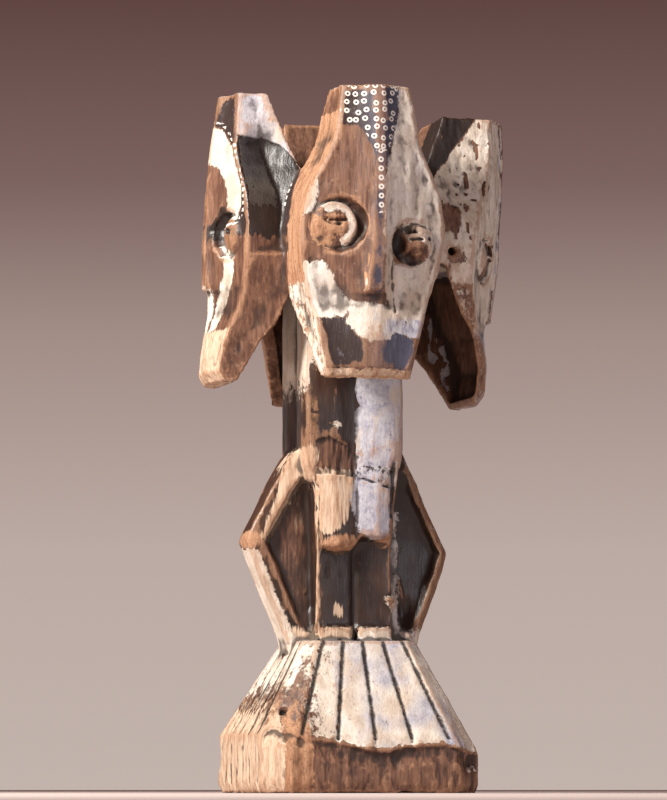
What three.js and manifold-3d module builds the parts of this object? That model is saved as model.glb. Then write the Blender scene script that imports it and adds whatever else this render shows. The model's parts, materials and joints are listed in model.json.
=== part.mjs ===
// A wooden figure with four mask faces, carved together with its square plinth from one block.
// Millimetres, +Z up. The origin is the middle of the plinth's underside and the front mask faces -Y.
import * as THREE from 'three';
import { mergeVertices } from 'three/addons/utils/BufferGeometryUtils.js';
import Module from 'manifold-3d';

// Plinth: an upright band, then a grooved slope up to the waist.
const PLINTH_HALF = 48.2;
const PLINTH_SHIFT = 1;
const PLINTH_FOOT_INSET = 1.2;
const PLINTH_CHAMFER = 11;
const BAND_HEIGHTS = { front: 19, right: 17, back: 20, left: 25 };
const PLINTH_TOP = 65;
const PLINTH_TOP_HALF = 25.3;
const PLINTH_TOP_CHAMFER = 6;
const GROOVE_SHARES = [-0.9, -0.45, 0, 0.45, 0.9];
const GROOVE_WIDTH = 2.2;
const GROOVE_DEPTH = 1.9;

// Body: a square post between two flat arm wings. Each row is [height, measure].
const BODY_BOTTOM = 58;
const BODY_TOP = 150;
const REACH_RIGHT = [[58, 29.5], [65, 30.5], [102.5, 44.5], [120, 36.2], [137, 28], [146, 23.4], [150, 21]];
const REACH_LEFT = [[58, 27], [64, 27.8], [108.5, 46.3], [130, 35.2], [139, 30.4], [146, 26], [150, 21]];
const POST_HALF = [[58, 16], [115, 16], [128, 17.5], [140, 19], [150, 18]];
const ARM_EDGE_HALF = [[58, 9], [70, 7.5], [125, 7.5], [138, 10], [150, 12]];
const ARM_SWELL = 2.5;
const ARM_BAND_LEFT = 8;
const ARM_BAND_RIGHT = 3.5;
const RECESS_BOTTOM = 68;
const RECESS_TOP = 139;
const RECESS_FLOOR = 5;
const SIDE_GROOVE_FLOOR = 7.5;
const SIDE_GROOVE_WIDTH = 1.2;

// Chest: two lobes that end in an overhang above two leg-like uprights.
const LOBE_FRONT = [[100, 22.2], [136, 22.2], [145, 21.9], [150, 19]];
const LOBE_LEFT_END = 103.5;
const LOBE_RIGHT_END = 107.5;
const LOBE_ROUNDING = 2.5;
const LEG_FRONT = 15;
const LEG_ARRIS = 16.5;
const LEG_PARTING = 1.8;
const FOOT_FRONT = 18;
const FOOT_TOP = 71;
const BACK_HALF = [[58, 17], [110, 17], [134, 22], [144, 22], [150, 21]];

// Neck: a square post with rounded corners and a shallow valley down each face.
const NECK_HALVES = [[134, 19.5], [140, 21.8], [146, 22.7], [250, 22.7]];
const NECK_SHIFT = -1.3;
const NECK_ROUND = 5.5;
const NECK_VALLEY = 2.4;
const NECK_BOTTOM = 134;
const NECK_TOP = 250;

// Masks: half-width and face distance from the axis by height, the same for all four.
const MASK_CHIN = 174.5;
const MASK_TOP = 300;
const MASK_WIDTH = [
  [174.5, 20.2], [179, 21.4], [194, 25.6], [205, 28.9], [215.5, 32.5], [224, 35], [233, 36.3],
  [241, 36.6], [251.5, 34.2], [258, 32], [264, 28.2], [270, 24.2], [277, 21.4], [290, 19.3], [300, 17.7],
];
const MASK_RIDGE = [
  [174.5, 59.5], [179, 62.6], [190, 62.8], [206, 60.5], [212, 61], [235, 63.3], [262, 63.3], [285, 62], [300, 60],
];
const MASK_BACK = [
  [174.5, 53], [193, 42.9], [199, 37.3], [214, 31.5], [229, 24], [232, 19], [250, 19], [255, 22], [268, 27], [300, 39.4],
];
const MASK_SLOPE = [[174.5, 0.22], [195, 0.27], [212, 0.374], [300, 0.4]];
const STEEP_SIDE = [[190, 0.08], [205, 0.1], [228, 0.25], [300, 0.3]];
const MASK_RIM_SHARE = 0.88;
const RIM_STRIP = 3.4;
const RIM_LIFT = 0.6;
const FLANK_HOLLOW = [[174.5, 0], [195, 1]];
const DEEP_HOLLOW = [[229.5, 0], [232.5, 6], [263, 6], [277, 4.5], [289, 0.5]];

// The solid middle of the head, between the backs of the masks.
const CORE = { side: 44, bottom: 229, top: 255 };

// Nose: a narrow flat ridge that widens to the tip and is cut away below.
const NOSE_TIP = 211.5;
const NOSE_ROOT = 262;
const NOSE_HALF_ROOT = 1.9;
const NOSE_HALF_TIP = 3.1;
const NOSE_WALL = 2.6;
const NOSE_LIFT_ROOT = 0.5;
const NOSE_LIFT_TIP = 2.6;
const NOSE_UNDERCUT = 1.2;

// Eyes: a round boss with a slit, standing in a round socket on each half of the face.
const SOCKET_DEPTH = 6;
const BOSS_RISE = 4.6;
const BOSS_SINK = 3.4;
const BOSS_TILT = 0.35;
const SLIT_SHARE = 0.9;
const SLIT_HEIGHT = 1.6;
const SLIT_DEPTH = 5;
const WIDE_EYE = { offset: 17.4, height: 239.7, socket: 12.2, boss: 10.3, bossOffset: 19.2 };
const SMALL_EYE = { offset: 15, height: 232.5, socket: 10.3, boss: 7.8, bossOffset: 17.2 };
const EVEN_EYE = { offset: 16.5, height: 237.5, socket: 11, boss: 8.8, bossOffset: 17.8 };

// The hollow behind each chin, and the small hole in the right mask's near side.
const TROUGH = { wall: 4, face: [[183, 7], [227, 7]], bottom: 183, top: 227 };
const OPEN_TROUGH = { wall: 2, face: [[177, 3.6], [205, 3.8], [233, 13]], bottom: 177.5, top: 233 };
const OPEN_SIDE_REACH = 3;
const TROUGH_THROUGH = 12;
const PEG_HOLE = { radius: 2, distance: 39, face: 36, height: 233, depth: 9 };

// How each mask differs: its turn about the axis, lift, place and lean outward, sideways drift,
// rise of the nose, the side its chin hollow opens to and the side with the deep flank.
const EVEN_PAIR = [EVEN_EYE, EVEN_EYE];
const MASKS = [
  { turn: 0, lift: 0, out: 0, lean: 0, drift: 1, noseRise: 0, openSide: 0, deepSide: 0, eyes: [WIDE_EYE, SMALL_EYE] },
  { turn: 90, lift: -6, out: 6, lean: 5.2, drift: 0, noseRise: 0, openSide: -1, deepSide: 0, eyes: EVEN_PAIR },
  { turn: 180, lift: -3, out: 0, lean: 0, drift: 0, noseRise: 0, openSide: 0, deepSide: 0, eyes: EVEN_PAIR },
  { turn: 270, lift: 1, out: 0, lean: -2.5, drift: 0, noseRise: 4, openSide: 0, deepSide: 1, eyes: EVEN_PAIR },
];
const LEAN_PIVOT = 235;
const DRIFT = [[174.5, -5.3], [190, -4.2], [212, -3], [240, -1.2], [300, -0.5]];

const DARK_WOOD = new THREE.MeshStandardMaterial({ color: 0x4a372b, roughness: 0.75, metalness: 0 });

const wasm = await Module();
wasm.setup();

// Straight-line reading of a list of [height, measure] rows.
function at(rows, height) {
  if (height <= rows[0][0]) return rows[0][1];
  for (let i = 1; i < rows.length; i += 1) {
    const [low, first] = rows[i - 1];
    const [high, last] = rows[i];
    if (height <= high) return first + ((last - first) * (height - low)) / (high - low);
  }
  return rows[rows.length - 1][1];
}

function bump(height, low, high) {
  const share = THREE.MathUtils.clamp((height - low) / (high - low), 0, 1);
  return Math.sin(Math.PI * share) ** 0.6;
}

function step(height, edge, width) {
  return THREE.MathUtils.smoothstep(height, edge - width, edge);
}

// A closed skin over rings of points: a capped cylinder whose corners are moved onto the rings.
function skin(rings) {
  const columns = rings[0].length;
  const rows = rings.length - 1;
  const tube = new THREE.CylinderGeometry(1, 1, rows, columns, rows);
  tube.deleteAttribute('normal');
  tube.deleteAttribute('uv');
  const merged = mergeVertices(tube, 1e-4);
  const place = merged.attributes.position;
  for (let i = 0; i < place.count; i += 1) {
    const ring = rings[Math.round(place.getY(i) + rows / 2)];
    const radius = Math.hypot(place.getX(i), place.getZ(i));
    const turn = Math.atan2(place.getX(i), place.getZ(i)) / (2 * Math.PI);
    const column = (Math.round(turn * columns) + columns) % columns;
    const point = radius < 0.5 ? middle(ring) : ring[column];
    place.setXYZ(i, point.x, point.y, point.z);
  }
  return merged;
}

function middle(ring) {
  const sum = ring.reduce((total, point) => total.add(point), new THREE.Vector3());
  return sum.divideScalar(ring.length);
}

function solid(geometry) {
  geometry.deleteAttribute('normal');
  geometry.deleteAttribute('uv');
  const merged = mergeVertices(geometry, 1e-4);
  const mesh = new wasm.Mesh({
    numProp: 3,
    vertProperties: new Float32Array(merged.attributes.position.array),
    triVerts: new Uint32Array(merged.index.array),
  });
  return new wasm.Manifold(mesh);
}

// Plinth
function plinthRing(half, chamfer, depth, rise) {
  const sides = ['front', 'right', 'back', 'left'];
  const flat = half - chamfer;
  const ring = [];
  sides.forEach((side, turn) => {
    const level = rise(side);
    const points = [[-flat, 0]];
    for (const share of GROOVE_SHARES) {
      points.push([flat * share - GROOVE_WIDTH / 2, 0]);
      points.push([flat * share, depth]);
      points.push([flat * share + GROOVE_WIDTH / 2, 0]);
    }
    points.push([flat, 0]);
    points.forEach(([along, inset]) => {
      const point = new THREE.Vector3(along, -half + inset, level);
      ring.push(point.applyAxisAngle(new THREE.Vector3(0, 0, 1), (turn * Math.PI) / 2));
    });
  });
  return ring;
}

function plinth() {
  const level = (height) => () => height;
  const bandTop = (side) => BAND_HEIGHTS[side];
  const slope = (share) => (side) => THREE.MathUtils.lerp(BAND_HEIGHTS[side], PLINTH_TOP, share);
  const halfAt = (share) => THREE.MathUtils.lerp(PLINTH_HALF, PLINTH_TOP_HALF, share);
  const chamferAt = (share) => THREE.MathUtils.lerp(PLINTH_CHAMFER, PLINTH_TOP_CHAMFER, share);
  return solid(skin([
    plinthRing(PLINTH_HALF - PLINTH_FOOT_INSET, PLINTH_CHAMFER, 0, level(0)),
    plinthRing(PLINTH_HALF, PLINTH_CHAMFER, 0, level(4)),
    plinthRing(PLINTH_HALF, PLINTH_CHAMFER, 0, bandTop),
    plinthRing(halfAt(0.08), chamferAt(0.08), GROOVE_DEPTH, slope(0.08)),
    plinthRing(halfAt(0.9), chamferAt(0.9), GROOVE_DEPTH * 0.7, slope(0.9)),
    plinthRing(PLINTH_TOP_HALF, PLINTH_TOP_CHAMFER, 0, level(PLINTH_TOP)),
  ]));
}

// Body with its arm wings, one quarter of the outline at a time.
function bodyQuarter(z, reach, band, lobeEnd, isFront) {
  const post = at(POST_HALF, z);
  const edge = at(ARM_EDGE_HALF, z);
  const swell = edge + ARM_SWELL;
  const depth = isFront ? bump(z, RECESS_BOTTOM, RECESS_TOP) : 0.6 * bump(z, RECESS_BOTTOM, RECESS_TOP);
  const floor = THREE.MathUtils.lerp(swell, RECESS_FLOOR, depth);
  const groove = THREE.MathUtils.lerp(swell, SIDE_GROOVE_FLOOR - 2, depth);
  const lobe = isFront ? step(z, lobeEnd + LOBE_ROUNDING, LOBE_ROUNDING) : 0;
  const foot = isFront && z < FOOT_TOP ? 1 : 0;
  const leg = isFront ? THREE.MathUtils.lerp(LEG_FRONT, FOOT_FRONT, foot) : at(BACK_HALF, z);
  const arris = isFront ? THREE.MathUtils.lerp(LEG_ARRIS, FOOT_FRONT, foot) : at(BACK_HALF, z) - 1;
  const lobeFront = at(LOBE_FRONT, z);
  const bandIn = Math.max(reach - band, post + SIDE_GROOVE_WIDTH + 1.5);
  const recessOut = Math.max(bandIn - 2.5, post + SIDE_GROOVE_WIDTH + 0.8);
  return [
    [post * 0.12, THREE.MathUtils.lerp(leg, lobeFront - 1.4, lobe)],
    [post * 0.55, THREE.MathUtils.lerp(leg + 0.8, lobeFront, lobe)],
    [post, THREE.MathUtils.lerp(arris, lobeFront - 2.5, lobe)],
    [post + SIDE_GROOVE_WIDTH, groove],
    [(post + SIDE_GROOVE_WIDTH + recessOut) / 2, floor],
    [recessOut, floor],
    [bandIn, swell - 0.5],
    [reach, edge],
  ];
}

function bodyRing(z) {
  const right = at(REACH_RIGHT, z);
  const left = at(REACH_LEFT, z);
  const quarters = [
    { side: 1, front: -1, points: bodyQuarter(z, right, ARM_BAND_RIGHT, LOBE_RIGHT_END, true) },
    { side: 1, front: 1, points: bodyQuarter(z, right, ARM_BAND_LEFT, 0, false).reverse() },
    { side: -1, front: 1, points: bodyQuarter(z, left, ARM_BAND_LEFT, 0, false) },
    { side: -1, front: -1, points: bodyQuarter(z, left, ARM_BAND_LEFT, LOBE_LEFT_END, true).reverse() },
  ];
  const lobe = step(z, LOBE_RIGHT_END, LOBE_ROUNDING);
  const parting = THREE.MathUtils.lerp(LEG_FRONT - LEG_PARTING, at(LOBE_FRONT, z) - NECK_VALLEY, lobe);
  const ring = [];
  quarters.forEach(({ side, front, points }, index) => {
    if (index === 0) ring.push(new THREE.Vector3(0, -parting, z));
    if (index === 2) ring.push(new THREE.Vector3(0, at(BACK_HALF, z) - LEG_PARTING, z));
    points.forEach(([x, y]) => ring.push(new THREE.Vector3(side * x, front * y, z)));
  });
  return ring;
}

function body() {
  const levels = [
    64.5, RECESS_BOTTOM, FOOT_TOP - 0.6, FOOT_TOP + 0.6, 80, 94, LOBE_LEFT_END, LOBE_LEFT_END + LOBE_ROUNDING,
    LOBE_RIGHT_END, LOBE_RIGHT_END + LOBE_ROUNDING, 121, 130, RECESS_TOP, 145,
  ];
  return solid(skin([BODY_BOTTOM, ...levels, BODY_TOP].map(bodyRing)));
}

// Neck
function neckRing(z) {
  const half = at(NECK_HALVES, z);
  const flat = half - NECK_ROUND;
  const corner = NECK_ROUND * (1 - Math.SQRT1_2);
  const ring = [];
  for (let turn = 0; turn < 4; turn += 1) {
    const side = [[-half + corner, corner], [-flat, 0], [-flat * 0.5, 0.1], [0, NECK_VALLEY],
      [flat * 0.5, 0.1], [flat, 0]];
    side.forEach(([along, inset]) => {
      const point = new THREE.Vector3(along, -half + inset, z);
      ring.push(point.applyAxisAngle(new THREE.Vector3(0, 0, 1), (turn * Math.PI) / 2));
    });
  }
  return ring;
}

function neck() {
  return solid(skin([NECK_BOTTOM, 140, 144, 148, NECK_TOP].map(neckRing)));
}

// Masks, in their own frame: across, out from the axis, up.
function ridge(mask, z) {
  return at(MASK_RIDGE, z) + mask.out + (z - LEAN_PIVOT) * Math.tan(THREE.MathUtils.degToRad(mask.lean));
}

function slope(mask, side, z) {
  return at(MASK_SLOPE, z) + (side === mask.openSide ? at(STEEP_SIDE, z) : 0);
}

function nose(mask, height) {
  const z = height - mask.noseRise;
  if (z < NOSE_TIP) return { lift: 0, half: NOSE_HALF_TIP };
  const share = THREE.MathUtils.clamp((z - NOSE_TIP) / (NOSE_ROOT - NOSE_TIP), 0, 1);
  return {
    lift: THREE.MathUtils.lerp(NOSE_LIFT_TIP, NOSE_LIFT_ROOT, share),
    half: THREE.MathUtils.lerp(NOSE_HALF_TIP, NOSE_HALF_ROOT, share),
  };
}

function maskHalf(mask, side, z) {
  const width = at(MASK_WIDTH, z);
  const rim = width * MASK_RIM_SHARE;
  const face = (across) => ridge(mask, z) - slope(mask, side, z) * across;
  const back = at(MASK_BACK, z);
  const { lift, half } = nose(mask, z);
  const flank = (face(rim) + back) / 2;
  const hollow = Math.max(at(FLANK_HOLLOW, z), side === mask.deepSide ? at(DEEP_HOLLOW, z) : 0);
  return [
    [half, face(half) + lift],
    [half + NOSE_WALL, face(half + NOSE_WALL) + 0.2 * lift],
    [rim * 0.55, face(rim * 0.55) - 0.3],
    [rim - RIM_STRIP, face(rim - RIM_STRIP)],
    [rim - RIM_STRIP * 0.75, face(rim - RIM_STRIP * 0.75) + RIM_LIFT],
    [rim, face(rim) + RIM_LIFT * 0.3],
    [(rim + width) / 2 - hollow, flank],
    [width, back],
  ];
}

function maskRing(mask, z) {
  const drift = mask.drift * at(DRIFT, z);
  const half = (side) => maskHalf(mask, side, z).map(
    ([across, out]) => new THREE.Vector3(side * across + drift, -out, z));
  return [...half(1), ...half(-1).reverse()];
}

function maskBody(mask) {
  const levels = [
    MASK_CHIN, 179, 185, 192, 199, 205, NOSE_TIP - NOSE_UNDERCUT + mask.noseRise, NOSE_TIP + mask.noseRise,
    219, 225, 228.6, 232, 241, 250, 256, 263, 269, 277, 288, MASK_TOP,
  ];
  return solid(skin(levels.map((z) => maskRing(mask, z))));
}

// A flattened ball on the sloping half of a face.
function onFace(mask, side, eye, ball) {
  const leanAway = slope(mask, side, eye.height);
  const geometry = new THREE.SphereGeometry(1, 12, 8);
  geometry.scale(ball.radius, ball.depth, ball.radius);
  geometry.rotateZ(side * Math.atan(leanAway) * ball.tilt);
  const out = ridge(mask, eye.height) - leanAway * ball.offset - ball.sink;
  geometry.translate(side * ball.offset, -out, eye.height);
  return solid(geometry);
}

function eyeSlit(mask, side, eye) {
  const slit = new THREE.BoxGeometry(eye.boss * SLIT_SHARE, SLIT_DEPTH, SLIT_HEIGHT);
  const out = ridge(mask, eye.height) - slope(mask, side, eye.height) * eye.bossOffset + BOSS_RISE - BOSS_SINK;
  slit.translate(side * (eye.bossOffset - 1), -out, eye.height + 2);
  return solid(slit);
}

function carveEye(shape, mask, side) {
  const eye = mask.eyes[side === -1 ? 0 : 1];
  const socket = { radius: eye.socket, depth: SOCKET_DEPTH, tilt: 1, offset: eye.offset, sink: 0 };
  const boss = { radius: eye.boss, depth: BOSS_RISE, tilt: BOSS_TILT, offset: eye.bossOffset, sink: BOSS_SINK };
  const carved = shape.subtract(onFace(mask, side, eye, socket)).add(onFace(mask, side, eye, boss));
  return carved.subtract(eyeSlit(mask, side, eye));
}

// The hollow behind the chin, a smaller mask shape that opens towards the neck.
function troughRing(mask, z) {
  const row = mask.openSide === 0 ? TROUGH : OPEN_TROUGH;
  const width = at(MASK_WIDTH, z);
  const out = (across) => ridge(mask, z) - slope(mask, Math.sign(across), z) * Math.abs(across) - at(row.face, z);
  const back = at(MASK_BACK, z) - TROUGH_THROUGH;
  const half = (side) => {
    const wall = side === mask.openSide ? -OPEN_SIDE_REACH : row.wall;
    const corner = side * (width * MASK_RIM_SHARE - wall - 1);
    return [[corner, out(corner)], [side * (width - wall), back]];
  };
  const drift = mask.drift * at(DRIFT, z);
  const points = [[0, out(0)], ...half(1), ...half(-1).reverse()];
  return points.map(([across, distance]) => new THREE.Vector3(across + drift, -distance, z));
}

function trough(mask) {
  const { bottom, top } = mask.openSide === 0 ? TROUGH : OPEN_TROUGH;
  const levels = [bottom, 189, 199, 205, 212, 220, top];
  return solid(skin(levels.map((z) => troughRing(mask, z))));
}

function carvedMask(mask) {
  let shape = maskBody(mask);
  for (const side of [-1, 1]) shape = carveEye(shape, mask, side);
  return shape.subtract(trough(mask)).translate([0, 0, mask.lift]).rotate([0, 0, mask.turn]);
}

function core() {
  const height = CORE.top - CORE.bottom;
  const block = new THREE.BoxGeometry(CORE.side, CORE.side, height);
  block.translate(0, 0, CORE.bottom + height / 2);
  return solid(block);
}

function pegHole() {
  const hole = new THREE.CylinderGeometry(PEG_HOLE.radius, PEG_HOLE.radius, PEG_HOLE.depth * 2, 8);
  hole.translate(PEG_HOLE.distance, -PEG_HOLE.face, PEG_HOLE.height);
  return solid(hole);
}

function figure() {
  let head = core();
  for (const mask of MASKS) head = head.add(carvedMask(mask));
  head = head.subtract(pegHole());
  const foot = plinth().translate([PLINTH_SHIFT, 0, 0]);
  const throat = neck().translate([NECK_SHIFT, 0, 0]);
  const mesh = foot.add(body()).add(throat).add(head).getMesh();
  const geometry = new THREE.BufferGeometry();
  geometry.setAttribute('position', new THREE.BufferAttribute(mesh.vertProperties, 3));
  geometry.setIndex(new THREE.BufferAttribute(mesh.triVerts, 1));
  geometry.computeVertexNormals();
  return geometry;
}

const carving = new THREE.Mesh(figure(), DARK_WOOD);
carving.name = 'carved_figure';

const object = new THREE.Group();
object.add(carving);

export default object;
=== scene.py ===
# %% [markdown]
# # A carved wooden figure with four mask faces
# The real object is one block of wood. A square plinth, a body with bent arms, a neck and four long mask faces were
# cut from it with an adze and a knife, then painted with white clay and blue-black, and worn by long handling.
# Because it is one block, the whole figure is one mesh here too. The fixed frame gives the carver's rough form, and
# this lesson adds what the knife, the weather and the paint did to it.

# %% The fixed frame
import json
import math
import bpy
import numpy as np
from mathutils import Matrix, Vector

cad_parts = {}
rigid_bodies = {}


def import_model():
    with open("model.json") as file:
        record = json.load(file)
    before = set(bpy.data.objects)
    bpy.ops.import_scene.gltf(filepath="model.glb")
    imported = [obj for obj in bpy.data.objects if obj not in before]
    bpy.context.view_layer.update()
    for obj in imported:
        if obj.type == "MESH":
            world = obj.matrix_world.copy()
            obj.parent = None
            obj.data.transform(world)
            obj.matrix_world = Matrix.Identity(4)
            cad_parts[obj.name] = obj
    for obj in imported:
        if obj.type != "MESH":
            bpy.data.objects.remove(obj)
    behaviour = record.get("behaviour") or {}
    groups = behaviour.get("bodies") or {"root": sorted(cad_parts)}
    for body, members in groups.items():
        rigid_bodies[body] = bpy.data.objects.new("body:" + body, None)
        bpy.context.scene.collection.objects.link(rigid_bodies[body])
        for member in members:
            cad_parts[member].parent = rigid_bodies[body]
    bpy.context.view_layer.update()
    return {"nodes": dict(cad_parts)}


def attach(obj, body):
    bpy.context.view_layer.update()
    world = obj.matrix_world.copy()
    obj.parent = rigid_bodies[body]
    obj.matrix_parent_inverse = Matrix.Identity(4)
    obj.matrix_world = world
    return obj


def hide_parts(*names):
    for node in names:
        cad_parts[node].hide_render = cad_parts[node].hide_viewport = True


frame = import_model()
MM = 0.001

# %% [markdown]
# ## The camera
# The photograph was taken with a long lens held at the height of the plinth, a little to the left of the front mask.
# A long lens far away keeps the four masks nearly the same size. Looking up by a few degrees puts the plinth's foot
# at the bottom of the picture. The shift moves the figure slightly right of the middle, as in the photograph.

# %% Camera
CAMERA_TURN = math.radians(-15)
CAMERA_DISTANCE = 1.864
CAMERA_HEIGHT = 0.002
CAMERA_PITCH = math.radians(5.16)

lens = bpy.data.cameras.new("long_lens")
lens.sensor_width = 36
lens.lens = 193.5
lens.shift_x = -0.0144
camera = bpy.data.objects.new("camera", lens)
bpy.context.collection.objects.link(camera)
ahead = Vector((-math.sin(CAMERA_TURN), math.cos(CAMERA_TURN), 0)) * math.cos(CAMERA_PITCH)
ahead.z = math.sin(CAMERA_PITCH)
place = Vector((math.sin(CAMERA_TURN), -math.cos(CAMERA_TURN), 0)) * CAMERA_DISTANCE
place.z = CAMERA_HEIGHT
camera.matrix_world = Matrix.Translation(place) @ ahead.to_track_quat("-Z", "Y").to_matrix().to_4x4()
bpy.context.scene.camera = camera
print("camera at", [round(v, 3) for v in place])

# %% [markdown]
# ## From rough form to a sculptor's surface
# The frame's solid has large flat faces. A voxel remesh gives it an even skin of small squares that can be carved
# anywhere, and a few rounds of smoothing take the machine edge off, as handling does to wood.

# %% A fine skin over the rough form
VOXEL = 0.8 * MM
SOFTENING_ROUNDS = 3


def select_only(piece):
    bpy.ops.object.select_all(action="DESELECT")
    piece.select_set(True)
    bpy.context.view_layer.objects.active = piece


def apply_modifier(piece, kind, **settings):
    modifier = piece.modifiers.new(kind.lower(), kind)
    for name, value in settings.items():
        setattr(modifier, name, value)
    select_only(piece)
    bpy.ops.object.modifier_apply(modifier=modifier.name)


select_only(frame["nodes"]["carved_figure"])
bpy.ops.object.duplicate()
carving = bpy.context.object
carving.name = "four_faced_carving"
bpy.ops.object.parent_clear(type="CLEAR_KEEP_TRANSFORM")
bpy.ops.object.mode_set(mode="EDIT")
bpy.ops.mesh.select_all(action="SELECT")
bpy.ops.mesh.remove_doubles(threshold=0.001 * MM)
bpy.ops.object.mode_set(mode="OBJECT")
apply_modifier(carving, "REMESH", mode="VOXEL", voxel_size=VOXEL)
apply_modifier(carving, "SMOOTH", factor=0.5, iterations=SOFTENING_ROUNDS)
print("skin points:", len(carving.data.vertices))

# %% [markdown]
# ## Noise for carving
# Blender's own noise works one point at a time. The skin has hundreds of thousands of points, so this small version
# works on all of them at once. Value noise gives soft lumps, and cell noise gives the scooped facets of a tool.

# %% Noise for many points at once


def lattice(ix, iy, iz, seed):
    mixed = (ix * 374761393 + iy * 668265263 + iz * 2147483647 + seed * 1274126177) & 0xFFFFFFFF
    mixed = ((mixed ^ (mixed >> 13)) * 1274126177) & 0xFFFFFFFF
    mixed = ((mixed ^ (mixed >> 16)) * 2246822519) & 0xFFFFFFFF
    return ((mixed ^ (mixed >> 15)) & 0xFFFFFF) / 0x7FFFFF - 1.0


def lumps(points, size, seed=0):
    """Soft noise from -1 to 1. Size is one number or one for each axis, in the units of the points."""
    scaled = points / np.asarray(size, dtype=float)
    low = np.floor(scaled).astype(np.int64)
    part = scaled - low
    part = part * part * (3 - 2 * part)
    total = np.zeros(len(points))
    for corner in range(8):
        step = np.array([corner & 1, corner >> 1 & 1, corner >> 2])
        weight = np.prod(np.where(step, part, 1 - part), axis=1)
        total += weight * lattice(*(low + step).T, seed)
    return total


def rough(points, size, seed=0, rounds=3):
    """Several sizes of lumps added up, each half as large as the one before."""
    total = np.zeros(len(points))
    for step in range(rounds):
        total += lumps(points, np.asarray(size, dtype=float) / 2**step, seed + step) / 2**step
    return total / 1.5


def scoops(points, size, seed=0):
    """Hollow facets with low ridges between them: 0 at a facet's middle, about 1 on the ridges."""
    scaled = points / np.asarray(size, dtype=float)
    low = np.floor(scaled).astype(np.int64)
    nearest = np.full(len(points), 9.0)
    for step in np.ndindex(3, 3, 3):
        cell = low + np.array(step) - 1
        jitter = np.stack([lattice(*cell.T, seed + axis) for axis in range(3)], axis=1)
        centre = cell + 0.5 + 0.38 * jitter
        nearest = np.minimum(nearest, ((scaled - centre) ** 2).sum(axis=1))
    return np.clip(nearest, 0, 1)


def smooth_step(value, low, high):
    share = np.clip((value - low) / (high - low), 0, 1)
    return share * share * (3 - 2 * share)


# %% [markdown]
# ## Where a point lies
# Carving and paint are placed by measures a carver would use: the height above the table, and on a mask how far
# across and how far out from the axis a point is. The four masks are the same carving turned about the axis, so one
# function gives the place of every point on its own mask.

# %% Measures of each point
MASK_LIFTS = np.array([0, -6, -3, 1])
FRONT, RIGHT, BACK, LEFT = range(4)


def read_points(piece):
    points = np.empty(len(piece.data.vertices) * 3)
    piece.data.vertices.foreach_get("co", points)
    return points.reshape(-1, 3) / MM


def read_normals(piece):
    normals = np.empty(len(piece.data.vertices) * 3)
    piece.data.vertex_normals.foreach_get("vector", normals)
    return normals.reshape(-1, 3)


def write_points(piece, points):
    piece.data.vertices.foreach_set("co", (points * MM).ravel())
    piece.data.update()


def turned(vectors, side):
    """Vectors seen from their own mask: across, out from the axis, up."""
    angle = side * math.pi / 2
    across = vectors[:, 0] * np.cos(angle) + vectors[:, 1] * np.sin(angle)
    out = vectors[:, 0] * np.sin(angle) - vectors[:, 1] * np.cos(angle)
    return across, out, vectors[:, 2]


def side_of(points):
    """The side, or mask, that each point faces: 0 front, 1 right, 2 back, 3 left."""
    angle = np.degrees(np.arctan2(points[:, 0], -points[:, 1]))
    return np.round(angle / 90).astype(int) % 4


def to_line(points, start, end):
    """Distance of each point from a straight line between two ends."""
    start, end = np.array(start, dtype=float), np.array(end, dtype=float)
    way = end - start
    share = np.clip((points - start) @ way / (way @ way), 0, 1)
    return np.linalg.norm(points - start - share[:, None] * way, axis=1)


def outline(u, v, corners):
    """Distance inside a flat outline given by its corners: above zero inside it, below zero outside."""
    place = np.stack([u, v], axis=1)
    nearest = np.full(len(u), 99.0)
    inside = np.zeros(len(u), dtype=bool)
    for first, last in zip(corners, corners[1:] + corners[:1]):
        nearest = np.minimum(nearest, to_line(place, first, last))
        crosses = (first[1] > v) != (last[1] > v)
        rise = last[1] - first[1] or 1e-9
        inside ^= crosses & (u < first[0] + (v - first[1]) * (last[0] - first[0]) / rise)
    return np.where(inside, nearest, -nearest)


points = read_points(carving)
print("height of the skin in mm:", round(points[:, 2].max(), 1))

# %% [markdown]
# ## The eyes
# Each eye is a round boss in a socket. On the front mask the left eye has a raised ring on its upper right, a thin
# slit and broken flats at its lower left. The right one has a lid over a long open slit and a rough pit below it.
# The knife's cuts are pushes along the surface's own normal, each one a function of the distance to a line.

# %% Carving tools


def fade(distance, reach):
    """1 on the line or spot itself, falling smoothly to 0 at its reach."""
    share = np.clip(1 - distance / reach, 0, 1)
    return share * share * (3 - 2 * share)


def spot(points, centre, radii):
    """Distance from a centre in parts of the radii: 1 on the edge of the spot."""
    return np.linalg.norm((points - np.array(centre)) / np.array(radii), axis=1)


def ring_angle(points, centre):
    return np.degrees(np.arctan2(points[:, 2] - centre[2], points[:, 0] - centre[0]))


# %% Eyes of the front mask
WIDE_EYE = (-19.4, -55, 239.6)
SMALL_EYE = (17.0, -56, 232.8)

normals = read_normals(carving)
in_front = points[:, 1] < -44
wide = spot(points, WIDE_EYE, (1, 3, 1))
angle = ring_angle(points, WIDE_EYE)
raised_arc = smooth_step(angle, -75, -50) * smooth_step(150 - angle, 0, 20)
push = 1.3 * raised_arc * fade(np.abs(wide - 8.6), 2.0)
push -= 2.6 * fade(to_line(points, (-24.6, -57, 242.2), (-17.4, -58, 240.2)) - 0.5, 1.3)
push -= 0.9 * smooth_step(-angle, 60, 85) * smooth_step(angle + 180, 0, 30) * fade(np.abs(wide - 6), 5)
chips = scoops(points + 2, (6, 6, 7), seed=23)
broken_flats = fade(spot(points, (-25, -52, 233), (8, 9, 8)), 1.2)
push += 1.6 * broken_flats * (0.5 - chips)
push -= 2.6 * fade(spot(points, (-7.4, -57, 240), (3.0, 6, 8.5)), 1)

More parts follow.
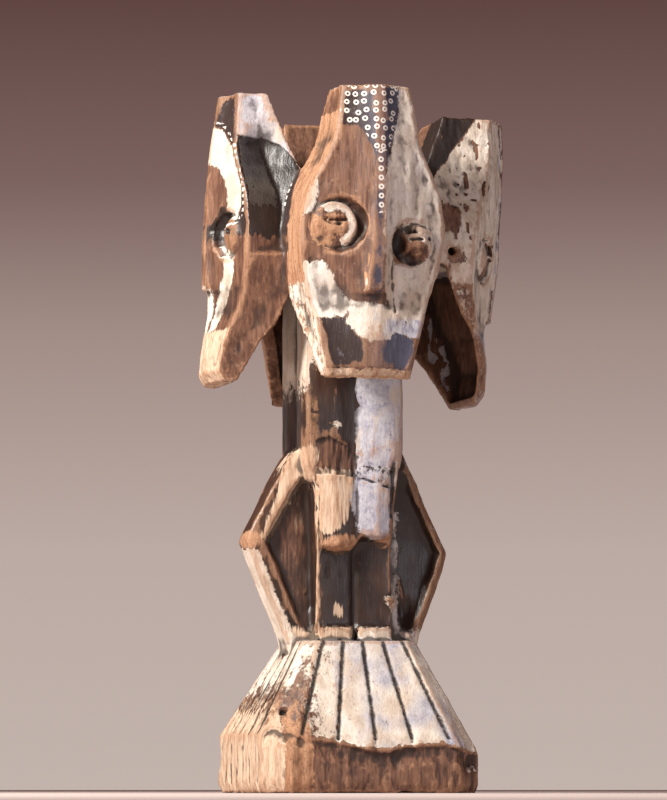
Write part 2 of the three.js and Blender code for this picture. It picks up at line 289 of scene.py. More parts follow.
small = spot(points, SMALL_EYE, (1, 3, 1))
push -= 4.2 * fade(to_line(points, (13.6, -55, 238.2), (21.6, -54, 234.6)) - 0.6, 1.9)
push += 1.0 * fade(to_line(points, (12.4, -57, 240.6), (22.4, -54, 237.2)), 1.9)
push -= 3.4 * fade(spot(points, (8.2, -58, 231.5), (4.6, 7, 8)), 1.1)
push -= 1.8 * fade(spot(points, (14.6, -56, 226.4), (6, 7, 4)), 1.1)
push += 1.5 * fade(small, 9) * rough(points, (2.6, 3, 2.6), seed=29) * smooth_step(234 - points[:, 2], 0, 4)
points += normals * np.where(in_front, push, 0)[:, None]
write_points(carving, points)
print("eyes cut up to", round(float(-push[in_front].min()), 1), "mm deep")

# %% Eyes of the other masks
normals = read_normals(carving)
side = side_of(points)
across, out, up = turned(points, side)
up = up - MASK_LIFTS[side]
on_face = (out > 44) & (side != FRONT)
own = np.stack([np.abs(across), up], axis=1)
push = -1.8 * fade(to_line(own, (14.5, 240), (20, 238.6)) - 0.3, 1.2)
near_right_eye = spot(points, (64, -9.5, 236), (7, 2.6, 3.0))
push -= 4.5 * np.where(side == RIGHT, fade(near_right_eye, 1.1), 0)
push -= 1.6 * np.where(side == LEFT, fade(to_line(own, (7, 241), (11, 247)), 3.2), 0)
push += 1.2 * np.where(side == LEFT, fade(to_line(own, (8, 232.5), (14, 229)), 2.6), 0)
points += normals * np.where(on_face, push, 0)[:, None]
write_points(carving, points)
print("sides with a cut eye:", sorted(set(side[on_face].tolist())))

# %% [markdown]
# ## Cracks, splits and worn edges
# The wood has dried for a long time. It has split along the grain beside the nose, on top of the right mask and on
# the neck. The plinth was beaten about most: its left side shows gouges and the painted slope ends in a worn edge.

# %% Splits and gouges
SPLITS = [
    ((5.2, -59.5, 224), (6.6, -57.5, 203), 0.9, 1.2),
    ((11.5, -56.5, 199), (13.5, -56.5, 193.5), 0.8, 0.8),
    ((59.5, -17.5, 287), (56.5, -23.5, 259), 1.5, 2.6),
    ((54.5, -18, 284), (51.5, -24, 266), 1.2, 1.8),
    ((63, -12, 279), (60.5, -16, 262), 1.1, 1.5),
    ((-21, -23.3, 158), (-9, -23, 157), 0.8, 0.7),
    ((-23, -22, 163.5), (-17, -23.5, 162.5), 0.9, 0.7),
    ((0.5, -21, 135.2), (14.5, -21, 130.8), 1.0, 1.1),
    ((-18.2, -12, 132), (-18.4, -8, 80), 1.5, 1.6),
    ((-18, -19, 131), (-17.6, -18, 121), 1.5, 2.2),
    ((3, -21.5, 109.5), (3, -19.5, 102), 0.9, 1.2),
    ((-12, -16.5, 99), (-12, -16.5, 92), 0.8, 0.9),
    ((-37.5, -37, 35.5), (-36.5, -35, 33), 2.4, 2.6),
    ((33, -29, 222), (28, -34, 250), 1.0, 0.7),
]
normals = read_normals(carving)
height = points[:, 2]
wander = points + np.stack([rough(points, 3.0, seed=31), rough(points, 3.0, seed=37), 0 * height], axis=1) * 0.6
split = np.full(len(points), -9.0)
push = np.zeros(len(points))
for start, end, width, depth in SPLITS:
    distance = to_line(wander, start, end)
    split = np.maximum(split, 0.6 * width - distance)
    push -= depth * fade(distance, width)
points += normals * push[:, None]

PLINTH_GOUGES = [(-3, 9), (-11, 5), (4, 7), (12, 8), (19, 6), (-20, 7), (27, 5)]
on_left = (points[:, 0] < -30) & (height < 60)
push = np.zeros(len(points))
for place, length in PLINTH_GOUGES:
    top = 30 + 1.7 * length
    push -= 1.1 * fade(to_line(points[:, 1:], (place, top), (1.5 * place, 5)), 2.6)
push = np.where(on_left, push * (0.6 + 0.5 * rough(points, (9, 9, 14), seed=41)), 0)
points += normals * push[:, None]


def slope_edge(x):
    """Height of the worn lower edge of the painted front slope."""
    return np.interp(x, [-40, -34, -26, -14, -4, 6, 16, 30, 42], [27, 25, 22.5, 20.5, 18, 17.2, 19.2, 20.5, 17])


edge_height = slope_edge(points[:, 0]) + 1.4 * rough(points, (7, 50, 50), seed=43)
below_paint = (points[:, 1] < -38) & (height < 40)
worn = smooth_step(edge_height - height, -0.3, 0.7) * smooth_step(height, edge_height - 9, edge_height - 3)
points += normals * np.where(below_paint, -1.3 * worn, 0)[:, None]
write_points(carving, points)
print("splits:", len(SPLITS), "gouges:", len(PLINTH_GOUGES))

# %% The chest, arms and feet
normals = read_normals(carving)
height = points[:, 2]
in_front = points[:, 1] < 0
push = 1.5 * fade(to_line(points, (-16.6, -17, 130), (-16.4, -15, 69)), 1.5)
push += 2.4 * fade(to_line(points, (15, -16, 83), (25.5, -10, 66)), 2.6)
push -= 2.6 * fade(spot(points, (24.5, -8.5, 77), (4.2, 6, 9.5)), 1.15)
push += 1.0 * fade(to_line(points, (22, -6, 92), (27, -6, 73)), 1.6)
push += 1.6 * fade(spot(points, (-7.5, -19, 106.5), (7, 6, 4.5)), 1.2)
push += 1.0 * fade(spot(points, (11.5, -19, 108.5), (4, 6, 3.2)), 1.2)
push -= 1.5 * fade(to_line(points, (16.5, -21, 141), (15.8, -20, 119)), 2.2)
push -= 1.0 * fade(to_line(points, (-3, -21.5, 149), (-0.5, -21.5, 136)), 1.6)
torn = outline(points[:, 0], height, [(-18, 150), (-13, 151.5), (-6, 148), (-0.5, 144), (-1.5, 136.5), (-17.6, 137)])
fibres = lumps(points, (0.9, 0.9, 7), seed=47)
push += np.where(torn > -1, -0.7 + 0.55 * fibres, 0)
points += normals * np.where(in_front & (height < 153), push, 0)[:, None]
write_points(carving, points)
print("highest push in mm:", round(float(push.max()), 2))

# %% [markdown]
# ## Tool marks and wear
# Adze cuts leave long shallow facets down the grain. They are deeper on the plinth's band, and almost polished away
# on the neck. The right half of the front mask and the near side of the right mask are rough and split, because the
# ground under the white clay has swollen and dried there many times.

# %% Facets, lumps and fibres
normals = read_normals(carving)
side = side_of(points)
across, out, up = turned(points, side)
height = points[:, 2]
head = height > 172
neck = (height > 140) & (height < 229) & (np.abs(points[:, :2]).max(axis=1) < 25)
band_share = smooth_step(24 - height, 0, 5)
bevel = (normals[:, 2] < -0.45) & head & ~neck
crust = np.where((side == FRONT) & head & ~neck, smooth_step(points[:, 0], 1, 4) * smooth_step(height, 189, 196), 0)
weathered = np.where((side == RIGHT) & head & (across < 0) & ~neck, smooth_step(height, 222, 240), 0)
left_chin = np.where((side == LEFT) & ~neck & head, smooth_step(200 - height, 0, 6), 0)

facets = scoops(points, (7, 7, 17), seed=3)
small_facets = scoops(points, (3.2, 3.2, 7), seed=7)
push = (facets - 0.5) * np.where(neck, 0.25, 0.45 + 0.7 * band_share)
push += (small_facets - 0.5) * np.where(neck, 0.08, 0.22 + 0.35 * band_share)
push += 0.26 * rough(points, (9, 9, 16), seed=11) + 0.10 * rough(points, (1.7, 1.7, 8), seed=17)
push += crust * (0.42 * rough(points, (3.4, 3.4, 5), seed=53) + 0.12 * rough(points, 1.6, seed=59))
push += weathered * (0.55 * rough(points, (2.0, 2.0, 11), seed=61) + 0.25 * rough(points, 2.2, seed=67))
push += np.maximum(bevel, left_chin) * 0.5 * rough(points, (2.2, 2.2, 3), seed=71)
push += band_share * 0.4 * rough(points, (2.4, 2.4, 4), seed=73)
points += normals * push[:, None]
points[:, 2] = np.maximum(points[:, 2], 0)
write_points(carving, points)
print("facets and lumps from", round(float(push.min()), 2), "to", round(float(push.max()), 2), "mm")

# %% Fewer points where the surface is plain
MOST_TRIANGLES = 196000
triangles_now = 2 * len(carving.data.polygons)
apply_modifier(carving, "DECIMATE", ratio=min(1.0, MOST_TRIANGLES / triangles_now))
select_only(carving)
bpy.ops.object.shade_smooth()
print("triangles:", sum(len(face.vertices) - 2 for face in carving.data.polygons))

# %% [markdown]
# ## Paint zones
# Each zone of paint, bare wood or painted shade is worked out for every point as a number: above zero inside the zone,
# below zero outside it, in mm from its edge. The material reads these numbers and breaks their edges with fine noise,
# which keeps them sharp between the mesh's points. A number near zero gives a patchy, half-worn cover.

# %% Regions of the carving
points = read_points(carving)
normals = read_normals(carving)
side = side_of(points)
across, out, up = turned(points, side)
up = up - MASK_LIFTS[side]
facing_across, facing_out, facing_up = turned(normals, side)
x, y, height = points.T
neck = (height > 140) & (height < 231) & (np.abs(points[:, :2]).max(axis=1) < 25.5)
head = (height > 166) & ~neck
flank = head & (facing_across * np.sign(across) > 0.72)
behind = head & (facing_out < -0.15)
top = head & (facing_up > 0.6) & (up > 290)
face = head & ~flank & ~behind & ~top
front_face = face & (side == FRONT)
left_face = face & (side == LEFT)
right_face = face & (side == RIGHT)
back_face = face & (side == BACK)
body = height < 166
print("share of points on mask faces:", round(float(face.mean()), 2))

# %% Zones by name
NOWHERE = -9.0
# The near-black zone holds painted shade in eye slits, holes, hollows and grooves, and black paint together with
# painted shade on the left mask's near flank.
zones = {name: np.full(len(points), NOWHERE) for name in ("pale", "bare", "orange", "brown", "ink", "black_and_shade")}
blue = np.zeros(len(points))


def paint(zone, where, depth):
    """Adds an area to a zone. Depth is the distance inside the area's edge, or one number for all of it."""
    depth = np.broadcast_to(np.asarray(depth, dtype=float), x.shape)
    zones[zone] = np.where(where, np.maximum(zones[zone], depth), zones[zone])


def clear(zone, where, depth):
    """Takes an area out of a zone, with the edge at depth zero."""
    depth = np.broadcast_to(np.asarray(depth, dtype=float), x.shape)
    zones[zone] = np.where(where, np.minimum(zones[zone], -depth), zones[zone])


# %% Front mask
BROW = [(-18, 302), (-17.8, 291), (-16.8, 282), (-9.6, 282.5), (-3.5, 271), (-3.3, 250), (-3.9, 225), (-6.4, 211),
        (0.8, 211), (0.2, 239), (1.3, 262), (4.2, 273), (7.8, 286), (9, 302)]
RIGHT_HALF = [(9, 302), (7.8, 286), (4.2, 273), (1.3, 262), (0.2, 239), (0.8, 213), (3.8, 205), (6, 195), (12.5, 192),
              (50, 192), (50, 302)]
UNDER_NOSE = [(-12.8, 206.5), (-14.8, 198), (-11, 192.5), (-5, 189.8), (3, 191), (6, 196), (5.5, 204), (-2, 206)]
CHEEK = [(-36, 224), (-23, 223.6), (-18, 213), (-13, 206), (-14.5, 200.5), (-26, 200), (-34, 203)]
OUTER_BROW = [(-30.5, 263), (-26.5, 262), (-25.5, 254), (-28.5, 244.5), (-33, 243), (-32, 254)]
MUZZLE = [(-40, 201), (-14.5, 200), (-11, 192), (-5, 189.4), (3, 190.6), (6, 195), (12.5, 191.6), (15, 191), (15, 177),
          (-40, 177)]

paint("brown", front_face, 6)
paint("ink", front_face, outline(x, height, BROW))
paint("ink", front_face, outline(x, height, MUZZLE))
paint("pale", front_face | (flank & (side == FRONT) & (x > 0)), np.minimum(outline(x, height, RIGHT_HALF), 3.2))
for area in (UNDER_NOSE, CHEEK):
    paint("pale", front_face, np.minimum(outline(x, height, area) + 0.3, 3.4))
paint("pale", front_face, np.minimum(outline(x, height, OUTER_BROW), 1.6))
wide = spot(points, WIDE_EYE, (1, 3, 1))
angle = ring_angle(points, WIDE_EYE)
ring = 2.1 - np.abs(wide - 8.3)
paint("pale", front_face & (angle > -72) & (angle < 128), np.minimum(ring, 1.6))
paint("orange", front_face & (wide < 11) & ((angle < -95) | (angle > 150)), 1.5)
paint("orange", front_face & (wide < 6), 0.3)
# Painted shade inside the two cut eye slits.
paint("black_and_shade", front_face, 1.2 - to_line(points, (-24.4, -57, 242.3), (-17.6, -57, 240.3)))
paint("black_and_shade", front_face, 1.6 - to_line(points, (13.4, -55, 238.4), (21.8, -54, 234.6)))
pit = 5.2 - spot(points, (15.5, -56, 228.8), (1.25, 1.6, 1))
clear("pale", front_face, pit)
# Painted shadow of the nose ridge in the right eye's socket: the clay is cleared and the socket darkened.
socket_shadow = 4.4 - spot(points, (8.2, -57, 231.5), (1.0, 1.8, 1.9))
clear("pale", front_face, socket_shadow)
paint("black_and_shade", front_face, socket_shadow - 1.2)
paint("orange", (side == FRONT) & head & (x < -10) & (flank | (outline(x, height, RIGHT_HALF) < -20)), NOWHERE)
rim_strip = (side == FRONT) & head & (x < 0) & flank
paint("orange", rim_strip, np.minimum(289 - height, 2.5) + 0.0)
paint("brown", rim_strip, 3)
paint("pale", rim_strip, np.where(height < 216, 0.4, -1.6))
paint("bare", (side == FRONT) & head & (height < 178.6) & ~behind, 1.2)
blue = np.where(front_face & (zones["ink"] > -1), smooth_step(x, -12, 2), blue)
blue = np.where(front_face & (zones["pale"] > 0), 0.25 * (rough(points, 9, seed=81) + 0.6), blue)
print("front mask painted")

# %% Left mask, back mask and the far half of the right mask
ARCH = [(-1, 287), (6.5, 285), (16.4, 275), (22.6, 263), (24.8, 257), (24.8, 248), (22, 244), (-1, 244)]
ARCH_INSIDE = [(-1, 271), (6, 268.5), (12.5, 262), (15, 255), (15, 248), (10, 243), (-1, 243)]
LOWER_LID = [(6, 235.5), (9, 236), (16, 231), (14.6, 226.5), (9, 229.5)]
CHEEK_STRIPE = [(13, 231), (21, 228.5), (20, 222), (15.5, 211), (9.5, 197.5), (4.5, 196.5), (5.5, 203), (9, 214),
                (13, 222)]
UNDER_TIP = [(-1, 217), (4, 217), (5, 206), (2, 196), (-1, 196)]

half = np.abs(across)
arch_face = left_face | back_face
band = np.minimum(outline(half, up, ARCH), -outline(half, up, ARCH_INSIDE))
paint("brown", face & (side != FRONT), 5)
for area in (LOWER_LID, CHEEK_STRIPE, UNDER_TIP):
    band = np.maximum(band, outline(half, up, area))
paint("pale", arch_face, np.where(side == LEFT, np.minimum(band, 2.6), np.minimum(band - 1.2, 1.2)))
border = np.maximum(-outline(half, up, ARCH), up - 286)
paint("ink", arch_face & (up > 236), np.minimum(border - 0.4, 2.5))
# Painted shade in the eye hollows of the left and back masks.
eye_hollow = 3.6 - to_line(np.stack([half, up], axis=1), (7.5, 240), (12, 247))
paint("black_and_shade", arch_face, eye_hollow)
paint("bare", left_face, np.minimum(197 - up, 3))
paint("pale", right_face & (across > -4), np.minimum(0.6 - 0.03 * (up - 230), 1.0))
blue = np.where(right_face & (across > -5), 0.9, blue)
paint("pale", right_face & (across <= -4), np.where(up > 200, 2.4, 0.5))
blue = np.where(right_face & (across <= -4) & (up < 205), 0.8, blue)
# Painted shade in the right mask's cut pupil hole.
pupil = 3.0 - spot(points, (64, -9.5, 236), (3, 1, 1.1))
paint("black_and_shade", right_face, pupil)
broken = 5 - spot(points, (58, -18, 226), (2, 1, 1.1))
clear("pale", right_face, broken)
print("side masks painted")

# %% Flanks, tops and hollows
near_flank = flank & (side == LEFT) & (across > 0)
curve = up - np.interp(-x, [27, 34, 41, 52], [268.5, 277, 280.5, 281])
web = near_flank & (up > 236)
paint("pale", web, np.clip(curve, -5, 3))
paint("pale", web & (curve < -3), -1.9)
# Black paint together with painted shade in the hollow of the left mask's near flank, below the curved edge, and
# faintly lower down.
paint("black_and_shade", web, np.clip(-curve, -3, 4))
paint("pale", (top | (behind & (up > 250))) & (side == LEFT), 2)
blue = np.where((side == LEFT) & (near_flank | top) & (up > 262), 0.85, blue)
paint("brown", near_flank & (up <= 236), 4)
paint("bare", near_flank & (up <= 232), -1.3)
paint("black_and_shade", near_flank & (up <= 230) & (up > 205), -2.2)
paint("brown", flank & (side != LEFT), 2)
paint("pale", top & (side == FRONT), 1.4)

near_right = head & (side == RIGHT) & (across < 2) & ~right_face
paint("pale", near_right & ~behind, np.where(up > 226, 2.0, -0.2))
# Painted shadow: the front mask's shadow cast across the top of the right mask's near flank, with a slanting edge; the
# clay is cleared and darkened below it.
cast_shadow_edge = (height - 282) - 1.29 * (x - 46.4) + 1.5 * rough(points, 4, seed=83)
clear("pale", near_right, np.clip(cast_shadow_edge, -6, 4))
paint("black_and_shade", near_right, np.clip(cast_shadow_edge - 1, -6, 2))
clear("pale", near_right, 5 - spot(points, (39, -30, 248), (1.1, 1.2, 1.4)))
clear("pale", near_right, 3.4 - spot(points, (41, -33, 231), (1.2, 1.2, 1.0)))
paint("brown", behind, 2)
paint("brown", head & (side == RIGHT) & behind, 4)
paint("bare", flank & (side != LEFT) & (side != FRONT), -1.8)
print("flanks painted")

# %% Neck and chest
TORN_BROWN = [(-18, 149), (-13, 151), (-6, 148), (-0.5, 144.5), (-1.5, 136.5), (-17.6, 137)]
CHEST_BARE = [(-17.8, 138), (-2, 138), (-1.5, 128), (-4, 119), (-8, 113), (-12, 110.5), (-16, 112), (-17.8, 121)]
ARM_BARE = [(-29, 143), (-22, 149), (-17.4, 147), (-18, 134), (-23, 131), (-30, 117), (-35, 107), (-39.5, 109),
            (-37, 118), (-34, 125)]
WHITE_LOBE = [(-1, 135), (14.8, 131), (14.8, 111), (11.5, 109), (7, 108), (1, 111.5), (-3.2, 124)]

forward = y < -14
left_side = x < -12
paint("pale", neck & (side == LEFT), np.minimum(0.12 * (height - 176), 2) + 0.4)
paint("pale", neck & forward & left_side, np.clip(0.25 * (height - 184), -3, 1.6))
paint("pale", neck & forward & (x > -1.2), np.minimum(x + 1.2, 1.1))
blue = np.where((x > -3) & (y < 0) & (height < 200) & (height > 108), 1.0, blue)
paint("pale", neck & ((side == RIGHT) | (side == BACK)), -0.8)
paint("pale", forward & neck, 1.6 - to_line(points, (-9.5, -23, 158), (-8, -23, 156.5)))
paint("brown", forward & body, outline(x, height, TORN_BROWN) + 0.5)
paint("bare", forward & body, np.minimum(outline(x, height, CHEST_BARE) + 0.3, 3.2))
paint("bare", body & (y < 4), np.minimum(outline(x, height, ARM_BARE), 2.4))
paint("pale", forward & body, np.minimum(outline(x, height, WHITE_LOBE), 2.4))
paint("pale", forward & (x > -1) & (height > 130) & (height < 140), 0.8 - np.abs(height - 134) * 0.15)
lobe_ends = np.maximum(5.5 - spot(points, (-7, -18, 106.5), (1.4, 2, 0.8)),
                       3.6 - spot(points, (12.5, -18, 108), (1.2, 2, 0.8)))
paint("orange", forward & body, np.minimum(lobe_ends, 1.6))
clear("bare", forward & body, lobe_ends)
print("chest painted")

# %% Arms, legs and feet
reach_left = np.interp(height, [58, 64, 108.5, 130, 150], [27, 27.8, 46.3, 35.2, 21])
reach_right = np.interp(height, [58, 65, 102.5, 120, 150], [29.5, 30.5, 44.5, 36.2, 21])
arm = body & (height > 60)
lower_arm = arm & (height < 105)
paint("pale", lower_arm & (x < 0), 5.0 - (reach_left + x) * 1.2)
paint("pale", arm & (x > 0), np.where(height > 102, -0.2, -1.0) - 0.35 * (reach_right - x))
recess_left = arm & (x < -18.5) & (x > -reach_left + 7) & (y < 0)
recess_right = arm & (x > 16.5) & (x < reach_right - 3) & (y < 0)
paint("brown", recess_left, 0.6)
paint("bare", recess_left, -1.6 + 0.02 * (height - 90))
paint("pale", recess_right, np.interp(x, [16, 20, 25, 34], [1.2, 0.8, -1.2, -2.2]) - np.where(height > 122, 1.6, 0))
blue = np.where(recess_right, 0.5, blue)
paint("pale", arm & (x > 10), 1.7 - to_line(points, (15, -16, 83), (26.5, -10, 65)))
paint("orange", arm & (y < 6), 4.5 - spot(points, (-43, -2, 108.5), (1.1, 2, 0.9)))
paint("bare", arm, 1.0 - to_line(points, (-16.6, -17.5, 130), (-16.4, -15.5, 69)))
feet = body & (height > 62.5) & (height < 73) & (y < -5)
paint("bare", feet & (x < 0), 1.4 - 0.4 * np.abs(height - 67))
paint("pale", feet & (x > 1), 1.6 - 0.45 * np.abs(height - 67))
paint("bare", arm & forward, 3.2 - spot(points, (-7, -15, 78), (0.9, 2, 1.3)) - 1.0)
# Painted shade in the groove beside the arris.
paint("black_and_shade", arm & (x < -16), 1.0 - to_line(points, (-18.3, -12, 131), (-18.4, -8, 80)))
paint("pale", arm & (y > 6), -1.2)
print("body painted")

# %% Plinth
plinth = height < 66
slope = plinth & (normals[:, 2] > 0.25)
band = plinth & ~slope
edge_height = slope_edge(x) + 1.4 * rough(points, (7, 50, 50), seed=43)
front_slope = slope & (side == FRONT)
cover = np.interp(x, [-38, -30, -20, -6, 10, 40], [-1.6, -0.8, 0.7, 1.3, 1.2, 1.7])
paint("pale", front_slope & (height > edge_height), np.minimum(cover, height - edge_height))
paint("pale", slope & (side == RIGHT), 1.2)
paint("pale", slope & (side == BACK), 0.6)
paint("pale", slope & (side == LEFT), np.clip(0.12 * (height - 44), -3, 0.6))
blue = np.where(front_slope & (x > -14), smooth_step(rough(points, 12, seed=89), -0.3, 0.5), blue)
paint("brown", plinth, 1.0)
paint("orange", plinth & (x < -26), np.clip(0.10 * (34 - height), -2, 1.5))
paint("bare", plinth & (x < -38), np.clip(0.16 * (36 - height), -3, 2.2))
paint("bare", slope & (x < -18) & (side == FRONT), -1.2)
paint("orange", band & (x > 36), -0.6)
groove_shares = np.array([-0.9, -0.45, 0, 0.45, 0.9])
groove_room = np.interp(height, [20, 65], [37.2, 19.3])
local = np.where(side % 2 == 0, np.where(side == 0, x - 1, 1 - x), across)
groove = np.abs(local[:, None] - groove_shares * groove_room[:, None]).min(axis=1)
# Painted shade in the grooves on the plinth's slopes.
paint("black_and_shade", slope & (height > 22), 0.9 - groove)
print("plinth painted")

# %% [markdown]
# ## Edges and hollows
# Hands wear the paint off every edge, and every hollow is darkened with painted shade. Comparing each point with the
# average of its neighbours tells the two apart: on an edge the point stands outside the average, and in a hollow inside
# it.

# %% Worn edges and hollows


def neighbour_average(piece, values, rounds):
    edges = np.empty(len(piece.data.edges) * 2, dtype=np.int32)
    piece.data.edges.foreach_get("vertices", edges)
    first, last = edges.reshape(-1, 2).T
    count = np.bincount(first, minlength=len(values)) + np.bincount(last, minlength=len(values))
    for _ in range(rounds):
        total = np.stack([
            np.bincount(first, column[last], len(values)) + np.bincount(last, column[first], len(values))
            for column in values.T
        ], axis=1)
        values = total / count[:, None]
    return values


average = neighbour_average(carving, points, 10)
standing_out = ((points - average) * normals).sum(axis=1)


def store(name, values):
    attribute = carving.data.attributes.new(name, "FLOAT", "POINT")
    attribute.data.foreach_set("value", np.asarray(values, dtype=np.float32))


for name, values in zones.items():
    store(name, np.clip(values, -6, 6))
store("blue", np.clip(blue, 0, 1))
store("standing_out", np.clip(standing_out, -2, 2))
split = np.full(len(points), -9.0)
for start, end, width, depth in SPLITS:
    split = np.maximum(split, 0.55 * width - to_line(points, start, end))
store("split", split)
brow_dots = np.minimum(outline(x, height, BROW), height - 270) - 0.6
ridge_dots = np.minimum(np.minimum(272 - height, height - 244), 1.9 - np.abs(x + 1.1))
store("dots", np.where(front_face, np.maximum(brow_dots, -6), -6))
store("ridge_dots", np.where(front_face, ridge_dots, -6))
dash_way = 1.1 - np.abs(-outline(half, up, ARCH) - 2.0)
store("dashes", np.where(arch_face & (up > 238), dash_way, -6))
print("stored:", [item.name for item in carving.data.attributes if item.data_type == "FLOAT"])

# %% [markdown]
# ## One material for wood, clay and paint
# The figure has one skin, so it gets one material in layers, as the real surface has: dark polished wood at the
# bottom, then brown and bare wood where it is worn, blue-black paint and white clay. Painted shade darkens the hollows,
# splits, slits and grooves on top of them. Each layer reads its own zone and breaks the zone's edge with noise of a
# size that fits: clay flakes, wood tears in fibres up the grain.

# %% Node helpers
wood = bpy.data.materials.new("carved_wood")
wood.use_nodes = True
tree = wood.node_tree
surface = tree.nodes["Principled BSDF"]
place_in_object = tree.nodes.new("ShaderNodeTexCoord").outputs["Object"]


def feed(socket, value):
    if isinstance(value, bpy.types.NodeSocket):
        tree.links.new(value, socket)
    else:
        socket.default_value = value


def maths(operation, first, second=0.0, third=0.0):
    node = tree.nodes.new("ShaderNodeMath")
    node.operation = operation
    for socket, value in zip(node.inputs, (first, second, third)):
        feed(socket, value)
    return node.outputs[0]


def stretched(size, stretch=1.0):
    """The object's own coordinates, counted in lumps of this size in mm, drawn out up the grain by stretch."""
    node = tree.nodes.new("ShaderNodeVectorMath")
    node.operation = "DIVIDE"
    feed(node.inputs[0], place_in_object)
    feed(node.inputs[1], (size * MM, size * MM, size * stretch * MM))
    return node.outputs[0]


def noise(size, stretch=1.0, detail=4.0, roughness=0.6):
    node = tree.nodes.new("ShaderNodeTexNoise")
    feed(node.inputs["Vector"], stretched(size, stretch))
    feed(node.inputs["Scale"], 1.0)
    feed(node.inputs["Detail"], detail)
    feed(node.inputs["Roughness"], roughness)
    return node.outputs[0]


def zone(name):
    node = tree.nodes.new("ShaderNodeAttribute")
    node.attribute_name = name
    return node.outputs["Fac"]


def between(value, low, high):
    node = tree.nodes.new("ShaderNodeMapRange")
    node.interpolation_type = "SMOOTHSTEP"
    feed(node.inputs["Value"], value)
    feed(node.inputs["From Min"], low)
    feed(node.inputs["From Max"], high)
    return node.outputs["Result"]


def cover(depth, breaking, amount, edge=0.35):
    """0 to 1: how far a zone covers, its edge broken by noise over an amount in mm."""
    moved = maths("MULTIPLY_ADD", breaking, amount, maths("SUBTRACT", depth, amount / 2))
    return between(moved, -edge, edge)


def blend(below, above, share):
    node = tree.nodes.new("ShaderNodeMix")
    node.data_type = "RGBA"
    feed(node.inputs[0], share)
    feed(node.inputs[6], below)
    feed(node.inputs[7], above)
    return node.outputs[2]


def times(first, second):
    return maths("MULTIPLY", first, second)


# %% Noises and covers
flakes = noise(3.4, 1.3, 5, 0.68)
fine_flakes = noise(1.1, 1.4, 4, 0.7)
patches = noise(11, 1.6, 4, 0.6)
fibres = noise(1.0, 9, 4, 0.62)
coarse_fibres = noise(2.6, 7, 4, 0.6)
specks = noise(0.75, 1.2, 2, 0.5)
cloud = noise(24, 1.4, 3, 0.55)

flake_mix = maths("MULTIPLY_ADD", flakes, 0.6, times(fine_flakes, 0.4))
fibre_mix = maths("MULTIPLY_ADD", coarse_fibres, 0.55, times(fibres, 0.45))
standing = zone("standing_out")
blue_tint = zone("blue")

brown_cover = cover(zone("brown"), fibre_mix, 9, 1.2)
ink_cover = cover(zone("ink"), flake_mix, 4.5, 0.35)
orange_cover = cover(zone("orange"), fibre_mix, 7, 0.7)
bare_cover = cover(zone("bare"), fibre_mix, 9, 0.45)
clay_cover = cover(zone("pale"), flake_mix, 8, 0.4)
black_and_shade_cover = cover(zone("black_and_shade"), flakes, 3, 0.6)
split_cover = cover(zone("split"), fine_flakes, 0.8, 0.22)

# %% Colours
patina = blend((0.016, 0.009, 0.007, 1), (0.060, 0.029, 0.019, 1), between(cloud, 0.35, 0.7))
patina = blend(patina, (0.105, 0.058, 0.042, 1), times(between(fibres, 0.55, 0.75), 0.5))
brown_wood = blend((0.085, 0.036, 0.022, 1), (0.200, 0.098, 0.058, 1), between(fibre_mix, 0.38, 0.62))
brown_wood = blend(brown_wood, (0.330, 0.200, 0.130, 1), times(between(flakes, 0.55, 0.72), 0.55))
orange_wood = blend((0.260, 0.120, 0.062, 1), (0.460, 0.260, 0.150, 1), between(fibre_mix, 0.36, 0.62))
orange_wood = blend(orange_wood, (0.120, 0.055, 0.032, 1), times(between(specks, 0.56, 0.7), 0.7))
bare_wood = blend((0.360, 0.220, 0.140, 1), (0.640, 0.480, 0.350, 1), between(fibre_mix, 0.34, 0.6))
bare_wood = blend(bare_wood, (0.150, 0.080, 0.052, 1), times(between(coarse_fibres, 0.6, 0.74), 0.75))
ink = blend((0.030, 0.016, 0.014, 1), (0.062, 0.060, 0.092, 1), blue_tint)
ink = blend(ink, (0.200, 0.190, 0.220, 1), times(between(flake_mix, 0.54, 0.68), 0.55))
clay = blend((0.560, 0.460, 0.370, 1), (0.760, 0.680, 0.590, 1), between(patches, 0.36, 0.62))
blue_clay = blend((0.270, 0.260, 0.330, 1), (0.500, 0.490, 0.530, 1), between(flake_mix, 0.36, 0.6))
clay = blend(clay, blue_clay, times(blue_tint, between(patches, 0.30, 0.52)))
clay = blend(clay, (0.300, 0.210, 0.155, 1), times(between(fine_flakes, 0.56, 0.72), 0.75))

colour = blend(patina, brown_wood, brown_cover)
colour = blend(colour, ink, ink_cover)
colour = blend(colour, orange_wood, orange_cover)
colour = blend(colour, bare_wood, bare_cover)
colour = blend(colour, clay, clay_cover)
edge_wear = cover(standing, flake_mix, 0.9, 0.16)
edge_wear = between(maths("MULTIPLY_ADD", flake_mix, 0.55, maths("SUBTRACT", standing, 0.62)), -0.08, 0.12)
colour = blend(colour, orange_wood, times(edge_wear, 0.55))
# Painted shade: hollows are darkened where a point lies inside the average of its neighbours.
hollow_shade = between(maths("MULTIPLY_ADD", flake_mix, -0.5, maths("SUBTRACT", 0.12, standing)), -0.1, 0.3)
colour = blend(colour, (0.020, 0.011, 0.009, 1), times(hollow_shade, 0.8))
# Near-black painted shade in slits, holes, hollows and grooves, with black paint on the left mask's near flank.
colour = blend(colour, (0.012, 0.007, 0.006, 1), times(black_and_shade_cover, 0.93))
# Painted shade inside the splits.
colour = blend(colour, (0.010, 0.006, 0.005, 1), times(split_cover, 0.9))

# %% Ring dots and dashes
DOT_SPACING = 3.7


